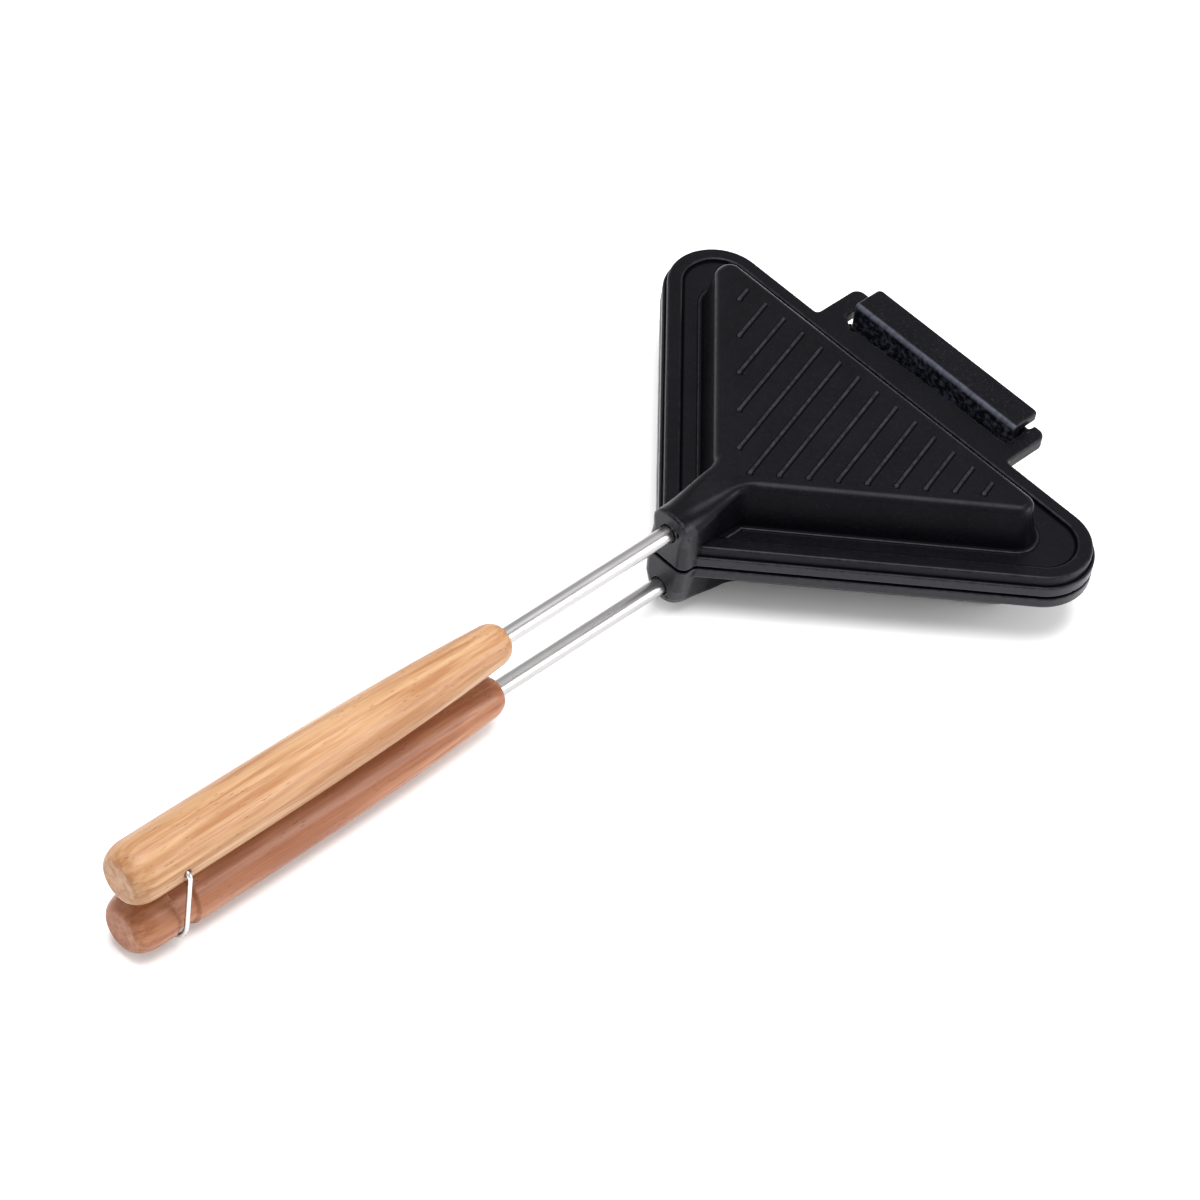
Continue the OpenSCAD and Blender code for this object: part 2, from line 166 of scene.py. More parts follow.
def pocket_line(x, y):
    """Distance from the triangle through the centres of the pocket's corners."""
    y = np.abs(y)
    flat = np.maximum(POCKET_BACK - x, (x + y - POCKET_TIP) * LEG_N)
    dx, dy = x - POCKET_BACK, y - POCKET_SIDE
    flat = np.where((dy > 0) & (dy > dx), np.hypot(dx, dy), flat)
    dx = x - POCKET_TIP
    return np.where(dx > y, np.hypot(dx, y), flat)


def rim_line(x, y):
    """Distance from the rim's outline."""
    y = np.abs(y)
    side = RIM_DEPTH - RIM_CORNER_R * (1 + math.sqrt(2))
    tip = RIM_DEPTH - RIM_TIP_R * math.sqrt(2)
    flat = np.maximum(-x, (x + y - RIM_DEPTH) * LEG_N)
    dx, dy = x - RIM_CORNER_R, y - side
    flat = np.where((dy > 0) & (dy > dx), np.hypot(dx, dy) - RIM_CORNER_R, flat)
    dx = x - tip
    return np.where(dx > y, np.hypot(dx, y) - RIM_TIP_R, flat)


def rounded_rectangle(x, y, low, high, r):
    """Distance from a rectangle with round corners."""
    qx = np.abs(x - (low[0] + high[0]) / 2) - (high[0] - low[0]) / 2 + r
    qy = np.abs(y - (low[1] + high[1]) / 2) - (high[1] - low[1]) / 2 + r
    return np.hypot(np.maximum(qx, 0), np.maximum(qy, 0)) + np.minimum(np.maximum(qx, qy), 0) - r


def rib_rows():
    """Start and length of each rib's straight part."""
    start = POCKET_BACK_INSET + RIB_BACK_GAP + RIB_WIDTH / 2
    room_a = POCKET_POINT - (RIB_GAP_A + RIB_WIDTH / 2) * math.sqrt(2) - start
    room_b = POCKET_POINT - (RIB_GAP_B + RIB_WIDTH / 2) * math.sqrt(2) - start
    rows = []
    for i in range(RIB_COUNT):
        y = (i - (RIB_COUNT - 1) / 2) * RIB_PITCH
        length = min((room_a + y) / (math.cos(RIB_SLANT) - math.sin(RIB_SLANT)),
                     (room_b - y) / (math.cos(RIB_SLANT) + math.sin(RIB_SLANT)))
        rows.append((start, y, length))
    return rows


def rib_line(x, y):
    """Distance from the centre lines of the ribs."""
    c, s = math.cos(RIB_SLANT), math.sin(RIB_SLANT)
    nearest = None
    for start, row_y, length in rib_rows():
        dx, dy = x - start, y - row_y
        along = np.clip(dx * c + dy * s, 0, length)
        d = np.hypot(dx - along * c, dy - along * s)
        nearest = d if nearest is None else np.minimum(nearest, d)
    return nearest


def plate_half(x, y, h, face, nose_r):
    """Distance from one cast half without its hinge.

    The upper half's face lies above the flange, inside a ridge; the lower half's is the flange.
    """
    rim = rim_line(x, y)
    pocket = pocket_line(x, y)
    half_flange = (FLANGE_TOP - HALF_GAP) / 2
    base = both(rim - LEDGE, np.abs(h - HALF_GAP - half_flange) - half_flange, 0.6)
    if face > FLANGE_TOP:
        band = both(np.abs(rim + RIM_WIDTH / 2) - RIM_WIDTH / 2, h - RIM_TOP, 0.7)
        track = np.maximum(rim + 2, h - face)
        base = union(base, union(band, track, 0.2), 0.3)
    foot_r = POCKET_CORNER_R + (POCKET_TOP - face) * math.tan(POCKET_DRAFT)
    bead = pocket - foot_r - BEAD_WIDTH
    beside = np.abs(y) - SOCKET_WIDTH / 2 + face * math.tan(SOCKET_DRAFT) - SOCKET_BEAD
    beside = np.maximum(np.maximum(beside, POCKET_TIP - x), rim + 0.4)
    bead = both(np.minimum(bead, beside), h - face - BEAD_HEIGHT, 0.4)
    base = union(base, bead, 0.25)

    wall = pocket - POCKET_CORNER_R - (POCKET_TOP - h) * math.tan(POCKET_DRAFT)
    wall = wall * math.cos(POCKET_DRAFT)
    side = (np.abs(y) - SOCKET_WIDTH / 2 + h * math.tan(SOCKET_DRAFT)) * math.cos(SOCKET_DRAFT)
    sides = union(wall, np.maximum(side, POCKET_TIP - SOCKET_ROOT - x), SOCKET_JOIN_R)
    # The socket's top and its edges run up into the pocket's over the length between them
    climb = np.clip((SOCKET_END - 3 - x) / (SOCKET_END - 3 - POCKET_TIP), 0, 1)
    climb = climb * climb * (3 - 2 * climb)
    top = SOCKET_TOP + (POCKET_TOP - SOCKET_TOP) * climb
    # The pocket's edge is rounder along its two legs than at the back
    leg = np.clip(((x + np.abs(y) - POCKET_TIP) * LEG_N - POCKET_BACK + x) / 6 + 0.5, 0, 1)
    edge_r = POCKET_EDGE_R + (POCKET_LEG_EDGE_R - POCKET_EDGE_R) * leg
    block = both(sides, h - top, SOCKET_EDGE_R + (edge_r - SOCKET_EDGE_R) * climb)
    nose = np.clip((h - NOSE_LOW) / NOSE_RUN, 0, 1)
    end_r = SOCKET_CORNER_R + (nose_r - SOCKET_CORNER_R) * nose
    block = np.maximum(both(block, x - SOCKET_END, end_r), -h)
    solid = union(base, block, 0.45)

    cavity_r = POCKET_CORNER_R + WALL * math.tan(POCKET_DRAFT) - WALL / math.cos(POCKET_DRAFT)
    roof = POCKET_TOP - WALL
    cavity = (pocket - cavity_r - (roof - h) * math.tan(POCKET_DRAFT)) * math.cos(POCKET_DRAFT)
    cavity = both(cavity, h - roof, CAVITY_EDGE_R)
    grooves = both(rib_line(x, y) - RIB_WIDTH / 2, np.abs(h - roof) - RIB_HEIGHT, 0.3)
    solid = both(solid, -union(cavity, grooves, 0.2), 0.45)

    bore = np.hypot(y, h - ROD_H) - ROD_D / 2 - ROD_BORE_GAP
    bore = np.maximum(bore, SOCKET_END - ROD_BORE_DEPTH - x)
    solid = both(solid, -bore, 0.4)
    # Small marks of the tool that staked the rod, on the end face and on one side
    for mark_x, mark_y, mark_h in STAKE_MARKS:
        up = (h - mark_h) / STAKE_STRETCH
        dent = np.sqrt((x - mark_x) ** 2 + (y - mark_y) ** 2 + up ** 2) - STAKE_R
        solid = both(solid, -dent, 0.3)
    # The gap opens a little towards its outer edge, which draws the dark parting line
    gap = HALF_GAP + PARTING_OPENS * np.clip((rim - PARTING_START) / PARTING_RUN, 0, 1)
    return both(solid, gap - h, 0.3)


def upper_plate_shape(x, y, h):
    """Distance from the upper casting, with its tab, slot and hinge bar."""
    solid = plate_half(x, y, h, RIM_TOP - TRACK_DEPTH, UPPER_NOSE_R)
    # Worn lump on the socket's upper end edge
    lump = sum(((v - place) / size) ** 2
               for v, place, size in zip((x, y, h), LUMP_PLACE, LUMP_SIZE))
    solid = union(solid, (np.sqrt(lump) - 1) * 0.8, 0.3)
    rim = rim_line(x, y)
    plan = rounded_rectangle(x, y, (-ARM_REACH, TAB_LEFT), (RIM_WIDTH, TAB_RIGHT), TAB_CORNER_R)
    within = np.maximum(SLOT_LEFT - y, y - SLOT_RIGHT)
    plan = both(plan, -np.maximum(x + TAB_REACH, within), 0.6)
    plan = np.maximum(union(rim, plan, 1.2), -rim - RIM_WIDTH / 2)
    tab = both(plan, np.abs(h - BAR_H) - TAB_THICK / 2, 0.7)
    # The slot's near edge is ragged, closes in to the right, and runs across its left corner
    ragged = sum(deep * np.sin(often * y + start) for deep, often, start in SLOT_WAVES)
    closes = SLOT_CLOSES * np.clip((y + 26) / 40, 0, 1)
    corner = SLOT_CORNER_CUT * np.clip((-27.6 - y) / 4.4, 0, 1)
    near = SLOT_NEAR - closes - corner + ragged
    notch = np.hypot((x - NOTCH_PLACE[0]) / NOTCH_SIZE[0], (y - NOTCH_PLACE[1]) / NOTCH_SIZE[1]) - 1
    slot = both(x - near, y - SLOT_RIGHT, 1.5)
    slot = np.maximum(slot, SLOT_LEFT - SLOT_DRAFT * (RIM_TOP - h) - y)
    tab = both(tab, -np.minimum(slot, notch), 0.45)
    bar = np.maximum(np.hypot(x - BAR_X, h - BAR_H) - BAR_R, within - 1)
    return np.minimum(solid, union(tab, bar, 0.5))


def lower_plate_shape(x, y, h):
    """Distance from the lower casting, with the hook that holds the upper half's bar."""
    solid = plate_half(x, y, h, FLANGE_TOP, SOCKET_EDGE_R)
    up = -h
    # Arm under the tab, web through the slot and leg over the bar. Web and leg are drawn past
    # their near face, which then cuts both with one rounded corner.
    past = HOOK_WEB_NEAR + 3
    inside = POCKET_BACK_INSET / 2
    arm = rounded_rectangle(
        x, up, (HOOK_WEB_FAR, -FLANGE_TOP), (inside, -HALF_GAP), HOOK_EDGE_R)
    web = rounded_rectangle(x, up, (HOOK_WEB_FAR, -FLANGE_TOP), (past, LEG_TOP), HOOK_EDGE_R)
    leg = rounded_rectangle(x, up, (HOOK_OUT, LEG_UNDER), (past, LEG_TOP), HOOK_LEG_R)
    near = both(x - HOOK_WEB_NEAR, up - LEG_TOP, 1.2)
    hook = np.maximum(union(web, leg, 0.5), near)
    far = 30.0
    plan = rounded_rectangle(x, y, (HOOK_OUT, HOOK_LEFT), (far, HOOK_RIGHT), HOOK_CORNER_R)
    below = rounded_rectangle(x, y, (HOOK_OUT, ARM_LEFT), (far, HOOK_RIGHT), HOOK_CORNER_R)
    return union(solid, union(both(hook, plan, 0.6), both(arm, below, 0.4), 0.3), 0.5)


def surface_nets(field, low, high, step):
    """Closed skin of four-cornered faces on the field's zero surface."""
    axes = [np.arange(a - 2 * step, b + 2.5 * step, step) for a, b in zip(low, high)]
    grid = [g.astype(np.float32) for g in np.meshgrid(*axes, indexing="ij", sparse=True)]
    value = field(*grid).astype(np.float32)
    size = value.shape
    rings, places = [], []
    for a in range(3):
        near = [slice(None)] * 3
        far = [slice(None)] * 3
        near[a], far[a] = slice(0, -1), slice(1, None)
        v0, v1 = value[tuple(near)], value[tuple(far)]
        cell = np.array(np.nonzero((v0 < 0) != (v1 < 0)))
        v0, v1 = v0[tuple(cell)], v1[tuple(cell)]
        place = np.stack([axes[i][cell[i]] for i in range(3)], 1)
        place[:, a] += step * v0 / (v0 - v1)
        b, c = (a + 1) % 3, (a + 2) % 3
        ring = []
        for db, dc in ((-1, -1), (0, -1), (0, 0), (-1, 0)):
            corner = cell.copy()
            corner[b] += db
            corner[c] += dc
            ring.append((corner[0] * size[1] + corner[1]) * size[2] + corner[2])
        ring = np.stack(ring, 1)
        ring[v0 >= 0] = ring[v0 >= 0][:, ::-1]
        rings.append(ring)
        places.append(np.repeat(place, 4, 0))
    rings, places = np.concatenate(rings), np.concatenate(places)
    keys, back = np.unique(rings.ravel(), return_inverse=True)
    count = np.bincount(back)
    points = np.stack([np.bincount(back, places[:, i]) / count for i in range(3)], 1)
    return points, np.searchsorted(keys, rings)


def slope(field, points, reach=0.03):
    """Gradient of the field at each point."""
    found = np.empty_like(points)
    for i in range(3):
        d = np.zeros(3)
        d[i] = reach
        found[:, i] = (field(*(points + d).T) - field(*(points - d).T)) / (2 * reach)
    return found


def settle(field, points, step, times):
    """Moves points onto the field's zero surface."""
    for _ in range(times):
        g = slope(field, points)
        move = field(*points.T) / np.maximum((g * g).sum(1), 0.25)
        points = points - np.clip(move, -step / 2, step / 2)[:, None] * g
    return points


def bend_of(field, points, reach=0.3):
    """Bend of the surface in 1/mm: above 0 on outer edges, below 0 in inner corners."""
    total = -6 * field(*points.T)
    for i in range(3):
        for sign in (-reach, reach):
            d = np.zeros(3)
            d[i] = sign
            total += field(*(points + d).T)
    return total / reach ** 2


def casting(name, field, low, high, upper, step, keep):
    """Cast piece skinned from a distance field, thinned and given the field's own normals."""
    points, faces = surface_nets(field, low, high, step)
    points = settle(field, points, step, 2)
    obj = mesh_object(name, points, faces)
    thin = obj.modifiers.new("thin", "DECIMATE")
    thin.ratio = keep
    plain_mesh(obj)
    mesh = obj.data
    co = np.zeros(len(mesh.vertices) * 3, np.float32)
    mesh.vertices.foreach_get("co", co)
    points = settle(field, co.reshape(-1, 3).astype(float) / MM, step, 2)
    normals = slope(field, points)
    normals /= np.maximum(np.linalg.norm(normals, axis=1), 1e-6)[:, None]
    bend = bend_of(field, points)
    # Painted reflection of the bright floor: the outer sides of the rim and the ends of the sockets
    # are marked to be drawn lighter and shinier
    inset = rim_line(points[:, 0], points[:, 1])
    floor_sheen_share = np.clip((inset - 0.15) / 0.5, 0, 1) * (points[:, 0] > -1.3)
    floor_sheen_share *= np.clip((0.75 - np.abs(normals[:, 2])) / 0.3, 0, 1)
    points += [HINGE_EDGE_X, 0, 0]
    if not upper:
        points[:, 2] *= -1
        normals[:, 2] *= -1
        mesh.flip_normals()
    points[:, 2] += GAP_MIDDLE_Z
    mesh.vertices.foreach_set("co", (points * MM).astype(np.float32).ravel())
    # The pocket's steep walls are duller than its top
    steep = np.clip((0.6 - np.abs(normals[:, 2])) / 0.3, 0, 1) * (inset < -RIM_WIDTH - 0.6)
    for label, values in (("bend", np.clip(bend, -4, 4)), ("floor_sheen", floor_sheen_share),
                          ("inset", inset), ("steep", steep)):
        attribute = mesh.attributes.new(label, "FLOAT", "POINT")
        attribute.data.foreach_set("value", values.astype(np.float32))
    mesh.polygons.foreach_set("use_smooth", np.ones(len(mesh.polygons), bool))
    mesh.update()
    mesh.normals_split_custom_set_from_vertices(normals)
    return obj


# ---------------------------------------------------------------- Geometry Nodes
class Tree:
    """Geometry Nodes tree with short ways to add its nodes."""

    def __init__(self, name, sizes):
        self.tree = bpy.data.node_groups.new(name, "GeometryNodeTree")
        face = self.tree.interface
        face.new_socket("Geometry", in_out="OUTPUT", socket_type="NodeSocketGeometry")
        self.ids = {}
        for label, value in sizes.items():
            kind = "NodeSocketInt" if isinstance(value, int) else "NodeSocketFloat"
            socket = face.new_socket(label, in_out="INPUT", socket_type=kind)
            socket.default_value = value
            self.ids[label] = socket.identifier
        self.entry = self.tree.nodes.new("NodeGroupInput")
        self.sizes = sizes

    def size(self, label):
        return self.entry.outputs[label]

    def node(self, kind, links=None, **settings):
        node = self.tree.nodes.new(kind)
        for key, value in settings.items():
            setattr(node, key, value)
        for key, value in (links or {}).items():
            socket = node.inputs[key]
            if isinstance(value, bpy.types.NodeSocket):
                self.tree.links.new(value, socket)
            else:
                socket.default_value = value
        return node

    def math(self, operation, *values):
        return self.node("ShaderNodeMath", dict(enumerate(values)), operation=operation).outputs[0]

    def point(self, x, y, z):
        return self.node("ShaderNodeCombineXYZ", {"X": x, "Y": y, "Z": z}).outputs[0]

    def close(self, geometry, material):
        """Ends the tree in Realize Instances and Set Material."""
        real = self.node("GeometryNodeRealizeInstances", {0: geometry}).outputs[0]
        done = self.node("GeometryNodeSetMaterial", {
            "Geometry": real, "Material": material}).outputs[0]
        out = self.tree.nodes.new("NodeGroupOutput")
        self.tree.links.new(done, out.inputs[0])


def grown(name, tree, changes=None):
    """Plain mesh object made by a tree, with some of its sizes changed."""
    mesh = bpy.data.meshes.new(name)
    obj = bpy.data.objects.new(name, mesh)
    bpy.context.scene.collection.objects.link(obj)
    modifier = obj.modifiers.new("nodes", "NODES")
    modifier.node_group = tree.tree
    for label, value in {**tree.sizes, **(changes or {})}.items():
        modifier[tree.ids[label]] = value
    return plain_mesh(obj)


def rib_tree(material):
    """Row of low slanted ribs that end on the pocket's two legs."""
    t = Tree("cast ribs", {
        "Count": RIB_COUNT, "Pitch": RIB_PITCH * MM, "Width": RIB_CREST_WIDTH * MM,
        "Height": RIB_HEIGHT * MM, "Slant": RIB_SLANT, "Shift": RIB_SHIFT * MM,
        "Start": 0.0, "Room A": 0.0, "Room B": 0.0, "Face": 0.0, "Side": 1.0,
        "Flare": 0.12 * MM, "Skirt": 0.8 * MM, "Bead": 0.35})
    cos, sin = t.math("COSINE", t.size("Slant")), t.math("SINE", t.size("Slant"))
    middle = t.math("MULTIPLY", t.math("SUBTRACT", t.size("Count"), 1.0), 0.5)
    first_y = t.math("SUBTRACT", t.size("Shift"), t.math("MULTIPLY", middle, t.size("Pitch")))
    row = t.node("GeometryNodeMeshLine", {
        "Count": t.size("Count"), "Offset": t.point(0.0, t.size("Pitch"), 0.0),
        "Start Location": t.point(t.size("Start"), first_y, t.size("Face"))}).outputs[0]
    index = t.node("GeometryNodeInputIndex").outputs[0]
    y = t.math("MULTIPLY", t.math("SUBTRACT", index, middle), t.size("Pitch"))
    to_leg_a = t.math("DIVIDE", t.math("ADD", t.size("Room A"), y), t.math("SUBTRACT", cos, sin))
    to_leg_b = t.math("DIVIDE", t.math("SUBTRACT", t.size("Room B"), y), t.math("ADD", cos, sin))
    length = t.math("MINIMUM", to_leg_a, to_leg_b)
    # A straight stroke of unit length, scaled to each rib
    stroke = t.node("GeometryNodeCurvePrimitiveLine", {
        "Start": (0, 0, 0), "End": (1, 0, 0)}).outputs[0]
    half = t.math("MULTIPLY", t.size("Width"), 0.5)
    full = t.math("ADD", length, t.size("Width"))
    put = t.node("GeometryNodeInstanceOnPoints", {
        "Points": row, "Instance": stroke,
        "Rotation": t.point(0.0, 0.0, t.size("Slant")),
        "Scale": t.point(full, 1.0, 1.0)}).outputs[0]
    lines = t.node("GeometryNodeRealizeInstances", {0: put}).outputs[0]
    lines = t.node("GeometryNodeResampleCurve", {
        "Curve": lines, "Length": 0.3 * MM}, mode="LENGTH").outputs[0]
    spline = t.node("GeometryNodeSplineParameter").outputs
    whole = t.node("GeometryNodeSplineLength").outputs["Length"]
    end = t.math("MINIMUM", spline["Length"], t.math("SUBTRACT", whole, spline["Length"]))
    share = t.math("SUBTRACT", 1.0, t.math("MINIMUM", t.math("DIVIDE", end, half), 1.0))
    round_end = t.math("SUBTRACT", 1.0, t.math("MULTIPLY", share, share))
    radius = t.math("SQRT", t.math("MAXIMUM", round_end, 0.0))
    # A small bead of metal stands at the front end of each rib
    from_bead = t.math("SUBTRACT", t.math("SUBTRACT", whole, spline["Length"]), 0.7 * MM)
    from_bead = t.math("DIVIDE", t.math("ABSOLUTE", from_bead), 0.9 * MM)
    bead = t.math("MAXIMUM", t.math("SUBTRACT", 1.0, from_bead), 0.0)
    bead = t.math("MULTIPLY", bead, t.size("Bead"))
    radius = t.math("MULTIPLY", radius, t.math("ADD", 1.0, bead))
    radius = t.math("MAXIMUM", radius, 0.02)
    lines = t.node("GeometryNodeSetCurveNormal", {"Curve": lines}, mode="Z_UP").outputs[0]
    # Rib section: round crest and flared foot, sunk a little into the face
    section = t.node("GeometryNodeCurvePrimitiveLine", {
        "Start": (-1, 0, 0), "End": (1, 0, 0)}).outputs[0]
    section = t.node("GeometryNodeResampleCurve", {
        "Curve": section, "Count": RIB_SECTION_POINTS}).outputs[0]
    across = t.math("SUBTRACT", t.math("MULTIPLY", t.node(
        "GeometryNodeSplineParameter").outputs["Factor"], 2.0), 1.0)
    # Coating lies thicker along one side of each rib, as a low skirt
    skirt_share = t.math("MAXIMUM", t.math("SUBTRACT", t.math("MULTIPLY", across, -1.0), 0.35), 0.0)
    wide = t.math("MULTIPLY", across, t.math("ADD", half, t.size("Flare")))
    wide = t.math("SUBTRACT", wide, t.math("MULTIPLY", skirt_share, t.size("Skirt")))
    crest = t.math("POWER", t.math("COSINE", t.math("MULTIPLY", across, math.pi / 2)), 1.7)
    sunk = t.math("MULTIPLY", t.size("Height"), 0.02)
    high = t.math("MULTIPLY", t.math("MULTIPLY", crest, t.size("Height")), 1.02)
    high = t.math("SUBTRACT", high, sunk)
    # Painted highlight along the crests and painted shade along the skirt side, stored as bend
    painted_crest_light_and_shade = t.math("MULTIPLY", t.math("SUBTRACT", crest, 0.35), 6.0)
    painted_crest_light_and_shade = t.math("SUBTRACT", painted_crest_light_and_shade, t.math("MULTIPLY", skirt_share, 9.0))
    side = t.math("MULTIPLY", t.size("Side"), -1.0)
    section = t.node("GeometryNodeSetPosition", {
        "Geometry": section,
        "Position": t.point(wide, t.math("MULTIPLY", high, side), 0.0)}).outputs[0]
    section = t.node("GeometryNodeStoreNamedAttribute", {
        "Geometry": section, "Name": "bend", "Value": painted_crest_light_and_shade},
        data_type="FLOAT", domain="POINT").outputs[0]
    section = t.node("GeometryNodeSetSplineCyclic", {
        "Geometry": section, "Cyclic": True}).outputs[0]
    swept = t.node("GeometryNodeCurveToMesh", {
        "Curve": lines, "Profile Curve": section, "Scale": radius, "Fill Caps": True}).outputs[0]
    moved = t.node("GeometryNodeSetPosition", {
        "Geometry": swept, "Offset": t.point(t.math("MULTIPLY", half, -1.0), 0.0, 0.0)}).outputs[0]
    smooth = t.node("GeometryNodeSetShadeSmooth", {"Geometry": moved}).outputs[0]
    t.close(smooth, material)
    return t


def handle_tree(material):
    """Turned handle with a bore for its rod, and either a cross hole or a groove for the wire."""
    t = Tree("turned handle", {
        "Length": HANDLE_LENGTH * MM, "Swell": HANDLE_SWELL,
        "Front Radius": HANDLE_FRONT_R * MM, "Rear Radius": HANDLE_REAR_R * MM,
        "Front Round Length": 4.4 * MM, "Front Round Depth": 2.3 * MM,
        "Rear Round Length": 7.0 * MM, "Rear Round Depth": 3.7 * MM,
        "Groove Depth": 0.0, "Groove Width": GROOVE_WIDTH * MM, "Groove Place": 0.0,
        "Hole Radius": HOLE_R * MM, "Hole Place": 0.0,
        "Bore Radius": (ROD_D / 2 + BORE_GAP) * MM, "Bore Depth": BORE_DEPTH * MM,
        "Front": 0.0, "Height": 0.0})
    line = t.node("GeometryNodeCurvePrimitiveLine", {
        "Start": (0, 0, 0), "End": (1, 0, 0)}).outputs[0]
    line = t.node("GeometryNodeResampleCurve", {"Curve": line, "Count": TURNING_RINGS}).outputs[0]
    share = t.node("GeometryNodeSplineParameter").outputs["Factor"]
    # Rings of points crowd towards the two ends
    cosine = t.math("COSINE", t.math("MULTIPLY", share, math.pi))
    share = t.math("MULTIPLY", t.math("SUBTRACT", 1.0, cosine), 0.5)
    along = t.math("MULTIPLY", share, t.size("Length"))
    line = t.node("GeometryNodeSetPosition", {
        "Geometry": line, "Position": t.point(along, 0.0, 0.0)}).outputs[0]
    position = t.node("GeometryNodeInputPosition").outputs[0]
    place = t.node("ShaderNodeSeparateXYZ", {0: position}).outputs[0]
    share = t.math("DIVIDE", place, t.size("Length"))
    grow = t.math("SUBTRACT", 1.0, t.math("POWER", t.math("SUBTRACT", 1.0, share), t.size("Swell")))
    radius = t.math("ADD", t.size("Front Radius"), t.math(
        "MULTIPLY", grow, t.math("SUBTRACT", t.size("Rear Radius"), t.size("Front Radius"))))

    def end_round(distance, length, depth):
        q = t.math("SUBTRACT", 1.0, t.math("MINIMUM", t.math("DIVIDE", distance, length), 1.0))
        square = t.math("SUBTRACT", 1.0, t.math("MULTIPLY", q, q))
        arc = t.math("SQRT", t.math("MAXIMUM", square, 0.0))
        return t.math("MULTIPLY", t.math("SUBTRACT", 1.0, arc), depth)

    front_round = end_round(place, t.size("Front Round Length"), t.size("Front Round Depth"))
    radius = t.math("SUBTRACT", radius, front_round)
    left = t.math("SUBTRACT", t.size("Length"), place)
    rear_round = end_round(left, t.size("Rear Round Length"), t.size("Rear Round Depth"))
    radius = t.math("SUBTRACT", radius, rear_round)
    off = t.math("ABSOLUTE", t.math("SUBTRACT", place, t.size("Groove Place")))
    inside = t.math("SUBTRACT", t.math("MULTIPLY", t.size("Groove Width"), 0.5), off)
    inside = t.math("DIVIDE", inside, 0.35 * MM)
    inside = t.math("MINIMUM", t.math("MAXIMUM", inside, 0.0), 1.0)
    radius = t.math("SUBTRACT", radius, t.math("MULTIPLY", inside, t.size("Groove Depth")))
    ring = t.node("GeometryNodeCurvePrimitiveCircle", {
        "Resolution": TURNING_SIDES, "Radius": 1.0}).outputs[0]
    body = t.node("GeometryNodeCurveToMesh", {
        "Curve": line, "Profile Curve": ring, "Scale": radius, "Fill Caps": True}).outputs[0]
    # The bore's cutter is centred on the front face, so half of it is in the wood
    bore = t.node("GeometryNodeMeshCylinder", {
        "Vertices": BORE_SIDES, "Radius": t.size("Bore Radius"),
        "Depth": t.math("MULTIPLY", t.size("Bore Depth"), 2.0)})
    bore = t.node("GeometryNodeTransform", {
        "Geometry": bore.outputs["Mesh"], "Rotation": (0, math.pi / 2, 0)})
    hole = t.node("GeometryNodeMeshCylinder", {
        "Vertices": HOLE_SIDES, "Radius": t.size("Hole Radius"), "Depth": 0.04})
    hole = t.node("GeometryNodeTransform", {
        "Geometry": hole.outputs["Mesh"], "Rotation": (math.pi / 2, 0, 0),
        "Translation": t.point(t.size("Hole Place"), 0.0, 0.0)})
    tools = t.node("GeometryNodeJoinGeometry")
    for tool in (bore, hole):
        t.tree.links.new(tool.outputs[0], tools.inputs[0])
    cut = t.node("GeometryNodeMeshBoolean", {}, operation="DIFFERENCE", solver="EXACT")
    t.tree.links.new(body, cut.inputs["Mesh 1"])
    t.tree.links.new(tools.outputs[0], cut.inputs["Mesh 2"])
    moved = t.node("GeometryNodeSetPosition", {
        "Geometry": cut.outputs["Mesh"],
        "Offset": t.point(t.size("Front"), 0.0, t.size("Height"))}).outputs[0]
    t.close(moved, material)
    return t


def wire_tree(material):
    """Latch wire bent to a long loop, wide and round below, with two tight bends above."""
    t = Tree("latch wire", {
        "Half Width": 0.01, "Length": 0.04, "Top Bend": 1.6 * MM, "Wire Radius": WIRE_R * MM,
        "Place": 0.0, "Top": 0.0})
    width = t.math("MULTIPLY", t.size("Half Width"), 2.0)
    frame_line = t.node("GeometryNodeCurvePrimitiveQuadrilateral", {
        "Width": width, "Height": t.size("Length")}).outputs[0]
    position = t.node("GeometryNodeInputPosition").outputs[0]
    high = t.node("ShaderNodeSeparateXYZ", {0: position}).outputs[1]
    upper = t.math("GREATER_THAN", high, 0.0)
    # The lower bends all but meet, which makes the loop's lower end a half circle
    low_bend = t.math("MULTIPLY", t.size("Half Width"), 0.999)
    bend = t.math("ADD", t.math("MULTIPLY", upper, t.size("Top Bend")),
                  t.math("MULTIPLY", t.math("SUBTRACT", 1.0, upper), low_bend))
    loop = t.node("GeometryNodeFilletCurve", {
        "Curve": frame_line, "Radius": bend, "Count": WIRE_BEND_STEPS}, mode="POLY").outputs[0]
    turned = t.node("GeometryNodeTransform", {
        "Geometry": loop, "Rotation": (math.pi / 2, 0, math.pi / 2),
        "Translation": t.point(t.size("Place"), 0.0, t.math(
            "SUBTRACT", t.size("Top"), t.math("MULTIPLY", t.size("Length"), 0.5)))}).outputs[0]
    ring = t.node("GeometryNodeCurvePrimitiveCircle", {
        "Resolution": WIRE_SIDES, "Radius": t.size("Wire Radius")}).outputs[0]
    tube = t.node("GeometryNodeCurveToMesh", {"Curve": turned, "Profile Curve": ring}).outputs[0]
    smooth = t.node("GeometryNodeSetShadeSmooth", {"Geometry": tube}).outputs[0]
    t.close(smooth, material)
    return t


